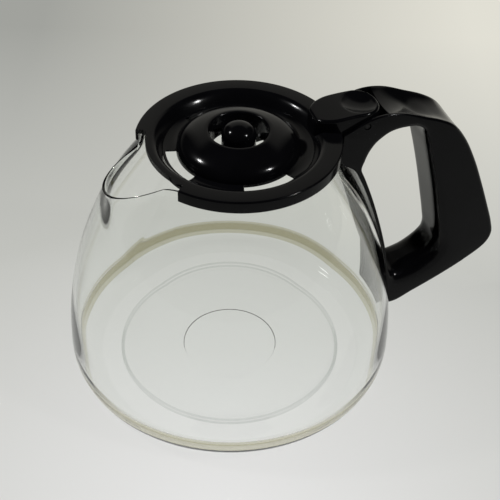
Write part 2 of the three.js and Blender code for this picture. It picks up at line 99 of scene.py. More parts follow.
def band(height):
    """Extra thickness of the heavier band that runs round the inside above the heel."""
    starts = eased(BAND_LOW - BAND_EDGE, BAND_LOW + BAND_EDGE, height)
    return BAND_DEPTH * (starts - eased(BAND_HIGH - BAND_EDGE, BAND_HIGH + BAND_EDGE, height))


def floor_height(radius):
    """Height of the floor inside, which is flat but for a low rounded bead near its edge."""
    return FLOOR_TOP + BEAD_RISE * (1 - eased(0, BEAD_HALF, abs(radius - BEAD_RADIUS)))


# Each station of the outline is its point, then how far the lip pulls it out and how far it drops it.
still = Vector((0.0, 0.0))
heel_centre = Vector((BELLY_RADIUS - HEEL_WIDTH, HEEL_HEIGHT))
base_radii = DISC_FLAT + [DISC_RADIUS + DISC_STEP * k / 6 for k in range(7)] + PUSH_UP_FLAT
base_radii += [STANDING_INNER - STANDING_EASE * (1 - k / 6) for k in range(7)] + STANDING_FLAT
base = [(Vector((r, underside(r))), still, still) for r in base_radii]
wall = []
for k in range(HEEL_STEPS + 1):
    tilt = math.pi / 2 * (k / HEEL_STEPS - 1)
    spot = heel_centre + Vector((HEEL_WIDTH * math.cos(tilt), HEEL_HEIGHT * math.sin(tilt)))
    wall.append((spot, still, still))
belly_low = Vector((BELLY_RADIUS, HEEL_HEIGHT))
belly_top = Vector((BELLY_RADIUS, HEEL_HEIGHT + BELLY_RISE))
shoulder_low = SHOULDER - SHOULDER_LEAN * SHOULDER_EASE
for k in range(1, BELLY_STEPS + 1):
    spot = bezier(belly_low, belly_top, shoulder_low, SHOULDER, k / BELLY_STEPS)
    wall.append((spot, still, still))
# The lip moves the neck curve's last three points, so each station moves by its share of those points.
rim = Vector((NECK_RADIUS, RIM_HEIGHT - RIM_ROUND))
lean_out = Vector((math.sin(LIP_LEAN), math.cos(LIP_LEAN) - 1))
for k in range(1, NECK_STEPS + 1):
    t = k / NECK_STEPS
    spot = bezier(SHOULDER, SHOULDER + SHOULDER_LEAN * NECK_EASE, rim - Vector((0, RIM_EASE)), rim, t)
    near, late, end = 3 * (1 - t) ** 2 * t, 3 * (1 - t) * t * t, t ** 3
    pull = SHOULDER_LEAN * near * (LIP_EASE - NECK_EASE) + Vector((LIP_REACH, 0)) * (late + end)
    wall.append((spot, pull - lean_out * RIM_EASE * late, Vector((0, -LIP_DROP)) * (late + end)))
inside = []
for k in range(HEEL_STEPS, len(wall)):
    spot, pull, drop = wall[k]
    along = (wall[min(k + 1, len(wall) - 1)][0] - wall[k - 1][0]).normalized()
    thickness = HEEL_WALL + (WALL - HEEL_WALL) * eased(HEEL_HEIGHT, 3 * HEEL_HEIGHT, spot.y)
    thickness += (RIM_WALL - WALL) * eased(SHOULDER.y, RIM_HEIGHT, spot.y)
    inside.append((spot - Vector((along.y, -along.x)) * thickness, pull, drop))
crest = []
rim_out, rim_pull, rim_drop = wall[-1]
rim_middle, rim_half = (rim_out + inside[-1][0]) / 2, (rim_out - inside[-1][0]) / 2
for k in range(1, CREST_STEPS):
    tilt = math.pi * k / CREST_STEPS
    spot = rim_middle + rim_half * math.cos(tilt) + Vector((0, RIM_ROUND * math.sin(tilt)))
    crest.append((spot, rim_pull, rim_drop))
inner_heel = []
for k in range(1, HEEL_STEPS + 1):
    tilt = -math.pi / 2 * k / HEEL_STEPS
    heel_in, heel_down = (HEEL_WIDTH - HEEL_WALL) * math.cos(tilt), (HEEL_HEIGHT - FLOOR_TOP) * math.sin(tilt)
    inner_heel.append((heel_centre + Vector((heel_in, heel_down)), still, still))
inner = inside[::-1] + inner_heel
for edge in (BAND_HIGH, BAND_LOW):
    for height in (edge + BAND_EDGE * k / 4 for k in range(4, -5, -1)):
        k = next(n for n, (spot, _, _) in enumerate(inner) if spot.y < height)
        high, low = inner[k - 1][0], inner[k][0]
        inner.insert(k, (low.lerp(high, (height - low.y) / (high.y - low.y)), still, still))
inner = [(spot - Vector((band(spot.y), 0)), pull, drop) for spot, pull, drop in inner]
floor_radii = FLOOR_EDGE + [BEAD_RADIUS + BEAD_HALF * (1 - k / 6) for k in range(13)] + FLOOR_FLAT
inner_floor = [(Vector((r, floor_height(r))), still, still) for r in floor_radii]
stations = base + wall + crest + inner + inner_floor

profile = bpy.data.meshes.new("jug_outline")
profile.from_pydata([(s.x * MM, 0, s.y * MM) for s, _, _ in stations], [], [])
for name, moves in (("lip_pull", [pull for _, pull, _ in stations]),
                    ("lip_drop", [drop for _, _, drop in stations])):
    stored = profile.attributes.new(name, "FLOAT_VECTOR", "POINT")
    stored.data.foreach_set("vector", [v for move in moves for v in (move.x * MM, 0, move.y * MM)])
jug = bpy.data.objects.new("jug", profile)
bpy.context.scene.collection.objects.link(jug)


def start_tree(name, piece, inputs):
    """A Geometry Nodes tree with a mesh in and out and named inputs, and the identifiers of those inputs."""
    tree = bpy.data.node_groups.new(name, "GeometryNodeTree")
    tree.interface.new_socket(piece, in_out="INPUT", socket_type="NodeSocketGeometry")
    identifiers = {}
    for label, kind in inputs.items():
        socket = tree.interface.new_socket(label, in_out="INPUT", socket_type="NodeSocket" + kind)
        identifiers[label] = socket.identifier
    tree.interface.new_socket("Finished", in_out="OUTPUT", socket_type="NodeSocketGeometry")
    return tree, identifiers


# The outline is turned in columns that crowd towards the lip; pull and drop fade to either side of it.
SEAM_GAP = 0.01
turning, jug_inputs = start_tree("jug_turned_with_lip", "Outline", {
    "Columns": "Int", "Lip half angle": "Float", "Lip sharpness": "Float", "Drop half angle": "Float",
    "Drop sharpness": "Float", "Crowding": "Float", "Glass": "Material"})
given = turning.nodes.new("NodeGroupInput").outputs
count = add_node(turning, "GeometryNodeAttributeDomainSize", {0: given["Outline"]}).outputs["Point Count"]
around = add_node(turning, "ShaderNodeMath", {0: given["Columns"], 1: 1.0}).outputs[0]
sheet = add_node(turning, "GeometryNodeMeshGrid", {"Vertices X": around, "Vertices Y": count}).outputs["Mesh"]
index = turning.nodes.new("GeometryNodeInputIndex").outputs[0]
row = add_node(turning, "ShaderNodeMath", {0: index, 1: count}, operation="DIVIDE").outputs[0]
column = add_node(turning, "ShaderNodeMath", {0: row}, operation="FLOOR").outputs[0]
station = add_node(turning, "ShaderNodeMath", {0: index, 1: count}, operation="MODULO").outputs[0]
share = add_node(turning, "ShaderNodeMath", {0: column, 1: given["Columns"]}, operation="DIVIDE").outputs[0]
even = add_node(turning, "ShaderNodeMath", {0: share, 1: 2 * math.pi}, operation="MULTIPLY").outputs[0]
wave = add_node(turning, "ShaderNodeMath", {0: even}, operation="SINE").outputs[0]
crowd = add_node(turning, "ShaderNodeMath", {0: wave, 1: given["Crowding"]}, operation="MULTIPLY").outputs[0]
angle = add_node(turning, "ShaderNodeMath", {0: even, 1: crowd}, operation="SUBTRACT").outputs[0]
other = add_node(turning, "ShaderNodeMath", {0: 2 * math.pi, 1: angle}, operation="SUBTRACT").outputs[0]
off = add_node(turning, "ShaderNodeMath", {0: angle, 1: other}, operation="MINIMUM").outputs[0]
place = add_node(turning, "GeometryNodeSampleIndex",
                 {"Geometry": given["Outline"], "Index": station,
                  "Value": turning.nodes.new("GeometryNodeInputPosition").outputs[0]},
                 data_type="FLOAT_VECTOR").outputs[0]
for name, half, sharp in (("lip_pull", "Lip half angle", "Lip sharpness"),
                          ("lip_drop", "Drop half angle", "Drop sharpness")):
    part = off
    for operation, by in (("DIVIDE", given[half]), ("MINIMUM", 1.0), ("MULTIPLY", math.pi / 2),
                          ("COSINE", 0.0), ("MAXIMUM", 0.0), ("POWER", given[sharp])):
        part = add_node(turning, "ShaderNodeMath", {0: part, 1: by}, operation=operation).outputs[0]
    stored = add_node(turning, "GeometryNodeInputNamedAttribute", {"Name": name}, data_type="FLOAT_VECTOR")
    vector = add_node(turning, "GeometryNodeSampleIndex",
                      {"Geometry": given["Outline"], "Index": station, "Value": stored.outputs[0]},
                      data_type="FLOAT_VECTOR").outputs[0]
    move = add_node(turning, "ShaderNodeVectorMath", {0: vector, "Scale": part}, operation="SCALE").outputs[0]
    place = add_node(turning, "ShaderNodeVectorMath", {0: place, 1: move}).outputs[0]
from_lip = add_node(turning, "ShaderNodeMath", {0: angle, 1: math.pi}).outputs[0]
turned_place = add_node(turning, "ShaderNodeVectorRotate", {"Vector": place, "Angle": from_lip},
                        rotation_type="Z_AXIS").outputs[0]
sheet = add_node(turning, "GeometryNodeSetPosition", {"Geometry": sheet, "Position": turned_place}).outputs[0]
sheet = add_node(turning, "GeometryNodeMergeByDistance",
                 {"Geometry": sheet, "Distance": SEAM_GAP * MM}).outputs[0]
sheet = add_node(turning, "GeometryNodeSetShadeSmooth", {"Geometry": sheet}).outputs[0]
sheet = add_node(turning, "GeometryNodeRealizeInstances", {"Geometry": sheet}).outputs[0]
sheet = add_node(turning, "GeometryNodeSetMaterial",
                 {"Geometry": sheet, "Material": given["Glass"]}).outputs[0]
turning.links.new(sheet, turning.nodes.new("NodeGroupOutput").inputs[0])


def start_material(name, constants):
    """A material with its even values set, then its tree, its shader and the place on the piece."""
    material = bpy.data.materials.new(name)
    material.use_nodes = True
    tree = material.node_tree
    shader = tree.nodes["Principled BSDF"]
    for socket, value in constants.items():
        shader.inputs[socket].default_value = value
    return material, tree, shader, tree.nodes.new("ShaderNodeTexCoord").outputs["Object"]


# Borosilicate glass, blown and fire polished: clear and colourless, with mirror-smooth skin, a slow
# waviness from blowing and faint wiped smears that only dull the gloss a little. The heavier band above
# the heel has a faint olive colour that is a painted reflection of the room seen through the thick glass,
# and the bead on the floor a faint grey that is painted shade.
CLEAR_TINT, BAND_PAINTED_REFLECTION_TINT, BEAD_PAINTED_SHADE_TINT, BEAD_PAINTED_SHADE_HEIGHT = "#fbfcfb", "#bfbb9e", "#dde0de", 1.0
SMEAR_SIZE, SMEAR_DULL, WAVE_SIZE, WAVE_DEPTH = 30.0, 0.03, 35.0, 0.4
glass, shade, skin, spot_on = start_material("borosilicate_glass", {"IOR": 1.47, "Transmission Weight": 1.0})
height_on = add_node(shade, "ShaderNodeSeparateXYZ", {0: spot_on}).outputs["Z"]
above = add_node(shade, "ShaderNodeMapRange", {"Value": height_on, "From Min": (BAND_LOW - BAND_EDGE) * MM,
                                               "From Max": (BAND_LOW + BAND_EDGE) * MM}).outputs[0]
below = add_node(shade, "ShaderNodeMapRange", {"Value": height_on, "From Min": (BAND_HIGH + BAND_EDGE) * MM,
                                               "From Max": (BAND_HIGH - BAND_EDGE) * MM}).outputs[0]
# Painted reflection: an olive colour on the heavier band, standing in for the room seen through the thick
# glass.
painted_reflection_band = add_node(shade, "ShaderNodeMath", {0: above, 1: below}, operation="MULTIPLY").outputs[0]
glass_colour_with_painted_light = add_node(shade, "ShaderNodeMix", {"Factor": painted_reflection_band, 6: linear(CLEAR_TINT), 7: linear(BAND_PAINTED_REFLECTION_TINT)},
                data_type="RGBA").outputs[2]
flat_on = add_node(shade, "ShaderNodeVectorMath", {0: spot_on, 1: (1, 1, 0)}, operation="MULTIPLY").outputs[0]
radius_on = add_node(shade, "ShaderNodeVectorMath", {0: flat_on}, operation="LENGTH").outputs["Value"]
# Painted shade: a grey colour on the floor's bead, standing in for the shade along its rounded edges.
off_bead = add_node(shade, "ShaderNodeMath", {0: radius_on, 1: BEAD_RADIUS * MM},
                    operation="SUBTRACT").outputs[0]
off_bead = add_node(shade, "ShaderNodeMath", {0: off_bead}, operation="ABSOLUTE").outputs[0]
bead_painted_shade = add_node(shade, "ShaderNodeMapRange", {"Value": off_bead, "From Min": BEAD_HALF * MM,
                                              "From Max": 0.5 * BEAD_HALF * MM}).outputs[0]
on_floor = add_node(shade, "ShaderNodeMath", {0: height_on, 1: (FLOOR_TOP + BEAD_PAINTED_SHADE_HEIGHT) * MM},
                    operation="LESS_THAN").outputs[0]
bead_painted_shade = add_node(shade, "ShaderNodeMath", {0: bead_painted_shade, 1: on_floor}, operation="MULTIPLY").outputs[0]
glass_colour_with_painted_light = add_node(shade, "ShaderNodeMix", {"Factor": bead_painted_shade, 6: glass_colour_with_painted_light, 7: linear(BEAD_PAINTED_SHADE_TINT)},
                data_type="RGBA").outputs[2]
shade.links.new(glass_colour_with_painted_light, skin.inputs["Base Color"])
smear = add_node(shade, "ShaderNodeTexNoise",
                 {"Vector": spot_on, "Scale": 1 / (SMEAR_SIZE * MM), "Detail": 4.0})
dull = add_node(shade, "ShaderNodeMapRange", {"Value": smear.outputs[0], "From Min": 0.5, "From Max": 0.8,
                                              "To Min": 0.0, "To Max": SMEAR_DULL})
shade.links.new(dull.outputs[0], skin.inputs["Roughness"])
blown = add_node(shade, "ShaderNodeTexNoise",
                 {"Vector": spot_on, "Scale": 1 / (WAVE_SIZE * MM), "Detail": 1.0})
waver = add_node(shade, "ShaderNodeBump",
                 {"Height": blown.outputs[0], "Strength": 0.2, "Distance": WAVE_DEPTH * MM})
shade.links.new(waver.outputs[0], skin.inputs["Normal"])


def settle(piece):
    """Turns what the modifiers give into the piece's own mesh."""
    worked = piece.evaluated_get(bpy.context.evaluated_depsgraph_get())
    mesh = bpy.data.meshes.new_from_object(worked)
    piece.modifiers.clear()
    piece.data = mesh


def run_tree(piece, tree, identifiers, values):
    """Runs a tree on a piece with a value for each named input, and keeps the mesh that it gives."""
    work = piece.modifiers.new(tree.name, "NODES")
    work.node_group = tree
    for label, value in values.items():
        work[identifiers[label]] = value
    settle(piece)


run_tree(jug, turning, jug_inputs, {
    "Columns": 200, "Lip half angle": math.radians(27), "Lip sharpness": 1.4,
    "Drop half angle": math.radians(42), "Drop sharpness": 2.2, "Crowding": 0.4, "Glass": glass})
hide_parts("glass_jug")
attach(jug, "carafe")

# Bond pads. Two thin layers of black silicone adhesive hold the handle to the glass, one under the lid
# and one low on the belly. They are squeezed out to an even skin between the two.
FLOW_SIZE = 4.0


def mottled(name, constants, size, detail, colours, roughness, between=(0.0, 1.0)):
    """A material whose colour and roughness drift together over patches of a real size."""
    material, tree, shader, point = start_material(name, constants)
    patch = add_node(tree, "ShaderNodeTexNoise",
                     {"Vector": point, "Scale": 1 / (size * MM), "Detail": detail}).outputs[0]
    tone = add_node(tree, "ShaderNodeMix",
                    {"Factor": patch, 6: linear(colours[0]), 7: linear(colours[1])}, data_type="RGBA")
    tree.links.new(tone.outputs[2], shader.inputs["Base Color"])
    dull = add_node(tree, "ShaderNodeMapRange",
                    {"Value": patch, "From Min": between[0], "From Max": between[1],
                     "To Min": roughness[0], "To Max": roughness[1]})
    tree.links.new(dull.outputs[0], shader.inputs["Roughness"])
    return material


# Black silicone, cured in place: a soft black with a dull sheen that varies a little where it flowed.
silicone = mottled("black_silicone", {"IOR": 1.41}, FLOW_SIZE, 3.0, ("#101112", "#1b1d1f"), (0.4, 0.6))
for name in ("upper_bond_pad", "lower_bond_pad"):
    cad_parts[name].material_slots[0].material = silicone

# Handle. One injection moulding in glossy black plastic: a thin leg down the glass, a head with two ears
# for the lid's pin, a thumb trough, a deep grip and a lower arm that ends against the belly. Each station
# of the loop pairs a point of the finger window with one of the outside.
HANDLE_HALF, BOND_LINE = 12.2, 0.9
PIN_X, PIN_Z, PIN_RADIUS, PIN_CLEARANCE = 58.6, 128.8, 1.5, 0.1
LEG_LOW, LEG_SPLIT, LEG_TOP, LEG_THIN, LEG_HEAD, LEG_RELIEF = 40.0, 60.0, 99.0, 1.4, 2.4, 1.9
WINDOW_EDGE, OUTER_EDGE, LEG_EDGE, TROUGH = 4.0, 2.0, 0.5, 3.0
ARCH_REACH, GRIP_REACH, GRIP_HEIGHT, BOND_DROP = 44.6, 55.8, 110.0, 16.9
RING_RADIUS, LID_OFFSET, SKIRT_BOTTOM, RING_CLEARANCE = 45.5, 3.0, 121.3, 0.8
TONGUE_HALF, EAR_CLEARANCE, TAIL_RADIUS = 10.3, 0.4, 10.2
BARREL, HINGE_CLEARANCE, POCKET = 4.2, 0.5, 0.8
wall_line = [s for s, _, _ in wall]


def off_glass(gap, height):
    """A point of the handle's middle plane at a height, a gap away from the glass."""
    for low, high in zip(wall_line, wall_line[1:]):
        if low.y <= height < high.y:
            radius = low.x + (high.x - low.x) * (height - low.y) / (high.y - low.y)
            return Vector((radius + gap, height))


def from_pin(x, z):
    """A point of the arch, in shares of its reach from the hinge pin."""
    return Vector((PIN_X + ARCH_REACH * x, PIN_Z + ARCH_REACH * z))


def from_belly(x, z):
    """A point of the grip, in shares of its reach from the belly and of its height."""
    return Vector((BELLY_RADIUS + GRIP_REACH * x, GRIP_HEIGHT * z))


# Each station: its window point, its outside point, its shares of the window's edge rounding, the outer edge
# rounding and the trough's depth, and how far it wraps round the glass.
loop = []
for k in range(6):
    height = LEG_LOW + (LEG_TOP - LEG_LOW) * k / 5
    free = max((height - LEG_SPLIT) / (LEG_TOP - LEG_SPLIT), 0) ** 2
    gap = BOND_LINE + LEG_RELIEF * free
    thick = LEG_THIN + (LEG_HEAD - LEG_THIN) * free
    loop.append((off_glass(gap + thick, height), off_glass(gap, height), LEG_EDGE / WINDOW_EDGE,
                 LEG_EDGE / OUTER_EDGE, 0, 1))
loop += [
    (from_pin(0.004, -0.534), off_glass(BOND_LINE + LEG_RELIEF, RIM_HEIGHT - 1.12 * BOND_DROP),
     0.3, 0.4, 0, 0.6),
    (from_pin(0.027, -0.435), off_glass(-WALL, RIM_HEIGHT - 0.73 * BOND_DROP), 0.6, 0.5, 0, 0),
    (from_pin(0.076, -0.332), off_glass(-WALL, RIM_HEIGHT - 0.35 * BOND_DROP), 0.8, 0.5, 0, 0),
    (from_pin(0.143, -0.242), from_pin(-0.314, -0.096), 0.9, 0.4, 0, 0),
    (from_pin(0.209, -0.186), from_pin(-0.191, -0.031), 0.9, 0.35, 0, 0),
    (from_pin(0.278, -0.148), from_pin(0, 0.058), 0.9, 0.35, 0, 0),
    (from_pin(0.359, -0.13), from_pin(0.179, 0.094), 0.9, 0.4, 0.7, 0),
    (from_pin(0.46, -0.126), from_pin(0.381, 0.072), 0.85, 0.5, 1, 0),
    (from_pin(0.561, -0.139), from_pin(0.628, -0.022), 0.8, 0.6, 1, 0),
    (from_pin(0.632, -0.184), from_pin(0.841, -0.112), 0.8, 0.75, 0.7, 0),
    (from_pin(0.67, -0.269), from_pin(1, -0.215), 0.9, 1, 0.2, 0),
    (from_belly(0.235, 0.99), from_belly(0.579, 1.005), 1, 1, 0, 0),
    (from_belly(0.294, 0.877), from_belly(0.701, 0.882), 1.1, 1, 0, 0),
    (from_belly(0.355, 0.75), from_belly(0.803, 0.753), 1.15, 1, 0, 0),
    (from_belly(0.41, 0.618), from_belly(0.901, 0.618), 1.25, 1, 0, 0),
    (from_belly(0.453, 0.5), from_belly(0.977, 0.505), 1.5, 1, 0, 0),
    (from_belly(0.464, 0.445), from_belly(1, 0.441), 1.75, 1, 0, 0),
    (from_belly(0.443, 0.404), from_belly(0.959, 0.389), 2, 1, 0, 0),
    (from_belly(0.385, 0.375), from_belly(0.78, 0.318), 2.15, 1, 0, 0),
    (from_belly(0.278, 0.345), from_belly(0.529, 0.245), 2.25, 1, 0, 0),
    (from_belly(0.17, 0.324), from_belly(0.278, 0.184), 2, 1, 0, 0),
    (from_belly(0.088, 0.311), from_belly(0.09, 0.145), 1.5, 0.8, 0, 0.3),
    (from_belly(0.056, 0.315), from_belly(-0.036, 0.164), 0.75, 0.5, 0, 0.6),
    (from_belly(0.039, 0.331), from_belly(-0.054, 0.273), 0.25, 0.5, 0, 1),
]


def round_loop(points, t):
    """A smooth closed curve through the points, at a share t of the way round."""
    where = t * len(points)
    k = int(where)
    t = where - k
    a, b, c, d = (points[(k + n) % len(points)] for n in (-1, 0, 1, 2))
    ab, bc, cd = (max((q - p).length, 1e-6) ** 0.5 for p, q in ((a, b), (b, c), (c, d)))
    start = ((b - a) / ab - (c - a) / (ab + bc) + (c - b) / bc) * bc
    end = ((c - b) / bc - (d - b) / (bc + cd) + (d - c) / cd) * bc
    return (b + start * t + ((c - b) * 3 - start * 2 - end) * t ** 2
            + ((b - c) * 2 + start + end) * t ** 3)


def corner(along, across, radius, start, steps=7):
    """A quarter circle round a centre, from a starting angle."""
    turns = [start + math.pi / 2 * k / steps for k in range(steps + 1)]
    return [Vector((along + radius * math.cos(a), across + radius * math.sin(a))) for a in turns]


windows, outers = [s[0] for s in loop], [s[1] for s in loop]
edges = [Vector((s[2] * WINDOW_EDGE, s[3] * OUTER_EDGE, s[4] * TROUGH, s[5])) for s in loop]
SECTIONS = 8 * len(loop)
handle_points = []
for k in range(SECTIONS):
    window, outer = round_loop(windows, k / SECTIONS), round_loop(outers, k / SECTIONS)
    window_round, outer_round, dish, wrap = (max(v, 0) for v in round_loop(edges, k / SECTIONS))
    depth, outward = (outer - window).length, (outer - window).normalized()
    flat_in, flat_out = HANDLE_HALF - window_round, HANDLE_HALF - outer_round
    outline = corner(depth - outer_round, -flat_out, outer_round, -math.pi / 2)
    outline += [Vector((depth - dish * (1 - (n / 8) ** 2), flat_out * n / 8)) for n in range(-7, 8)]
    outline += corner(depth - outer_round, flat_out, outer_round, 0)
    outline += corner(window_round, flat_in, window_round, math.pi / 2)
    outline += [Vector((0, flat_in * n / 4)) for n in range(3, -4, -1)]
    outline += corner(window_round, -flat_in, window_round, math.pi)
    for p in outline:
        spot = window + outward * p.x
        bow = min(wrap, 1) * (spot.x - math.sqrt(spot.x ** 2 - p.y ** 2))
        handle_points.append(((spot.x - bow) * MM, p.y * MM, spot.y * MM))


def skin_of(name, points, rows, closed_rows=True):
    """A closed skin over rows of points that each run round; the rows join end to end or are capped."""
    width = len(points) // rows
    faces = []
    for r in range(rows if closed_rows else rows - 1):
        low, high = r * width, (r + 1) % rows * width
        faces += [(low + c, high + c, high + (c + 1) % width, low + (c + 1) % width) for c in range(width)]
    if not closed_rows:
        faces += [tuple(range(width)), tuple(range((rows - 1) * width, rows * width))[::-1]]
    mesh = bpy.data.meshes.new(name)
    mesh.from_pydata(points, [], faces)
    work = bmesh.new()
    work.from_mesh(mesh)
    bmesh.ops.recalc_face_normals(work, faces=work.faces)
    work.to_mesh(mesh)
    work.free()
    piece = bpy.data.objects.new(name, mesh)
    bpy.context.scene.collection.objects.link(piece)
    return piece


def turned(name, outline, segments, axis_x=0.0):
    """A solid turned about a vertical axis from (radius, height) points that close on themselves."""
    points = []
    for k in range(segments):
        a = 2 * math.pi * k / segments
        points += [((axis_x + p.x * math.cos(a)) * MM, p.x * math.sin(a) * MM, p.y * MM) for p in outline]
    return skin_of(name, points, segments)


def across(name, outline, half):
    """A bar across the handle with an (x, z) outline."""
    points = [(p.x * MM, y * MM, p.y * MM) for y in (-half, half) for p in outline]
    return skin_of(name, points, 2, closed_rows=False)


def join(piece, tool, operation="DIFFERENCE"):
    """Cuts a tool out of a piece, or adds it on, and clears the tool away."""
    work = piece.modifiers.new("join", "BOOLEAN")
    work.operation, work.solver, work.object = operation, "MANIFOLD", tool
    settle(piece)
    bpy.data.objects.remove(tool)


# The loop is cut back for the glass with its bond line, the lid's ring, the tongue's swing and the pin.
handle = skin_of("handle_moulding", handle_points, SECTIONS)
grown = []
for k, spot in enumerate(wall_line):
    way = (wall_line[min(k + 1, len(wall_line) - 1)] - wall_line[max(k - 1, 0)]).normalized()
    grown.append(spot + Vector((way.y, -way.x)) * BOND_LINE)
core = [Vector((1, grown[-1].y)), Vector((1, grown[0].y))]
join(handle, turned("glass_room", grown + core, 180))
ring_room = RING_RADIUS + RING_CLEARANCE
room_low, room_high = SKIRT_BOTTOM - RING_CLEARANCE, SKIRT_BOTTOM + RING_RADIUS
lid_room = [Vector((1, room_low)), Vector((ring_room, room_low)),
            Vector((ring_room, room_high)), Vector((1, room_high))]
join(handle, turned("lid_room", lid_room, 180, LID_OFFSET))
pocket = TAIL_RADIUS + HINGE_CLEARANCE
slot_floor = PIN_Z - BARREL - HINGE_CLEARANCE
slot_line = [Vector((LID_OFFSET, slot_floor)), Vector((PIN_X + POCKET, slot_floor))]
for k in range(25):
    a = -math.acos(POCKET / pocket) * (1 - k / 24)
    slot_line.append(Vector((PIN_X + pocket * math.cos(a), PIN_Z + pocket * math.sin(a))))
slot_line += [Vector((PIN_X + pocket, room_high)), Vector((LID_OFFSET, room_high))]
join(handle, across("ear_slot", slot_line, TONGUE_HALF + EAR_CLEARANCE))


def pin_circle(radius):
    """A circle round the hinge's axis."""
    turns = [2 * math.pi * k / 48 for k in range(48)]
    return [Vector((PIN_X + radius * math.cos(a), PIN_Z + radius * math.sin(a))) for a in turns]


join(handle, across("pin_room", pin_circle(PIN_RADIUS + PIN_CLEARANCE), 2 * HANDLE_HALF))

# Black polypropylene, injection moulded in a polished tool: a deep black with a clear but weak gloss that
# shows the lamps small and sharp, the slight orange peel of moulded walls and faint handling marks.
MARK_SIZE, PEEL_SIZE, PEEL_DEPTH = 14.0, 2.5, 0.1
plastic = mottled("gloss_black_polypropylene", {"IOR": 1.32, "Specular IOR Level": 0.2}, MARK_SIZE, 5.0,
                  ("#040405", "#09090b"), (0.1, 0.2), between=(0.3, 0.75))
shade = plastic.node_tree
spot_on = shade.nodes["Texture Coordinate"].outputs["Object"]
peel = add_node(shade, "ShaderNodeTexNoise",
                {"Vector": spot_on, "Scale": 1 / (PEEL_SIZE * MM), "Detail": 1.0})
uneven = add_node(shade, "ShaderNodeBump",
                  {"Height": peel.outputs[0], "Strength": 0.06, "Distance": PEEL_DEPTH * MM})
shade.links.new(uneven.outputs[0], shade.nodes["Principled BSDF"].inputs["Normal"])

SHARP_ANGLE = math.radians(32)


def finish_skin(piece, material):
    """Smooth shading with the moulded edges kept, and one material all over."""
    piece.data.materials.clear()
    piece.data.materials.append(material)
    piece.data.polygons.foreach_set("material_index", [0] * len(piece.data.polygons))
    piece.data.shade_smooth()
    piece.data.set_sharp_from_angle(angle=SHARP_ANGLE)


finish_skin(handle, plastic)
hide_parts("handle")
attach(handle, "carafe")

# Hinge pin. A plain rod of black nylon, pressed through both ears and the lid's tongue, with its ends
# lightly rounded where they show as a small round mark in the side of each ear.
PIN_HALF, PIN_END = 11.8, 0.3
pin_points = []
for along, inset in ((-PIN_HALF, PIN_END), (PIN_END - PIN_HALF, 0),
                     (PIN_HALF - PIN_END, 0), (PIN_HALF, PIN_END)):
    pin_points += [(p.x * MM, along * MM, p.y * MM) for p in pin_circle(PIN_RADIUS - inset)]
pin = skin_of("pin_rod", pin_points, 4, closed_rows=False)
# Black nylon, drawn as rod: a dull satin black with a fine grain that gives back very little light.
GRAIN_SIZE = 0.8
nylon = mottled("black_nylon", {"IOR": 1.53, "Specular IOR Level": 0.15}, GRAIN_SIZE, 2.0,
                ("#060607", "#0c0c0d"), (0.35, 0.5))
finish_skin(pin, nylon)
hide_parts("hinge_pin")
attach(pin, "carafe")

# Lid. One moulding in the same black plastic: a flat ring with a skirt over the rim, a shallow bowl with
# three drain slots, a domed mound with an open top, and a nub on four ribs that works the brewer's valve.
# A tongue runs from the ring to the pin, with a thumb dish on top and a tail that swings down behind.
RING_TOP, RING_UNDER, RING_FLAT, SKIRT, EDGE = 127.0, 124.7, 38.6, 1.3, 0.8
BOWL_RADIUS, BOWL_FLOOR, BOWL_SAG, SHELL, BOWL_SHELL = 33.0, 122.0, 0.6, 1.8, 1.4
MOUND_FOOT, MOUND_TOP, DRAIN_RADIUS, DRAIN_TAPER, TUBE_BELOW = 27.2, 131.2, 13.1, 1.0, 0.5
LOCATING_RADIUS, LOCATING_LOW, SKIRT_EDGE, MOUND_INSET = 35.2, 117.5, 0.3, 1.26
FUNNEL_EASE_IN, FUNNEL_EASE_OUT, FUNNEL_RISE = 0.36, 0.34, 2.8
LID_SEGMENTS, FUNNEL_STEPS, SAG_STEPS, MOUND_STEPS, EDGE_STEPS = 240, 12, 12, 24, 8
lid_line = [Vector((RING_RADIUS - SKIRT, SKIRT_BOTTOM)), Vector((RING_RADIUS - SKIRT_EDGE, SKIRT_BOTTOM)),
            Vector((RING_RADIUS, SKIRT_BOTTOM + SKIRT_EDGE))]
lid_line += corner(RING_RADIUS - EDGE, RING_TOP - EDGE, EDGE, 0)
funnel_top, funnel_foot = Vector((RING_FLAT, RING_TOP)), Vector((BOWL_RADIUS, BOWL_FLOOR))
funnel_run = RING_FLAT - BOWL_RADIUS
funnel_over = funnel_top - Vector((FUNNEL_EASE_IN * funnel_run, 0))
funnel_down = funnel_foot + Vector((FUNNEL_EASE_OUT * funnel_run, FUNNEL_RISE))
for k in range(FUNNEL_STEPS + 1):
    lid_line.append(bezier(funnel_top, funnel_over, funnel_down, funnel_foot, k / FUNNEL_STEPS))
for k in range(1, SAG_STEPS):
    t = k / SAG_STEPS
    sag = 4 * BOWL_SAG * t * (1 - t)
    lid_line.append(Vector((BOWL_RADIUS + (MOUND_FOOT - BOWL_RADIUS) * t, BOWL_FLOOR - sag)))
mound_run, mound_rise = MOUND_FOOT - DRAIN_RADIUS - 2 * EDGE, MOUND_TOP - BOWL_FLOOR
mound_shape = [Vector((0, 0)), Vector((0.03, 0.5)), Vector((0.42, 0.76)), Vector((1, 0.99))]
mound = []
for k in range(MOUND_STEPS + 1):
    spot = bezier(*mound_shape, k / MOUND_STEPS)
    mound.append(Vector((MOUND_FOOT - mound_run * spot.x, BOWL_FLOOR + mound_rise * spot.y)))
lid_line += mound
lid_line += corner(DRAIN_RADIUS + EDGE, MOUND_TOP - EDGE, EDGE, math.pi / 2, EDGE_STEPS)[1:]
tube_low, tube_radius = BOWL_FLOOR - TUBE_BELOW, DRAIN_RADIUS - DRAIN_TAPER
lid_line += [Vector((tube_radius, tube_low)), Vector((tube_radius + SHELL, tube_low))]
lid_line += [Vector((p.x - MOUND_INSET, p.y - SHELL)) for p in mound[-3:0:-2]]
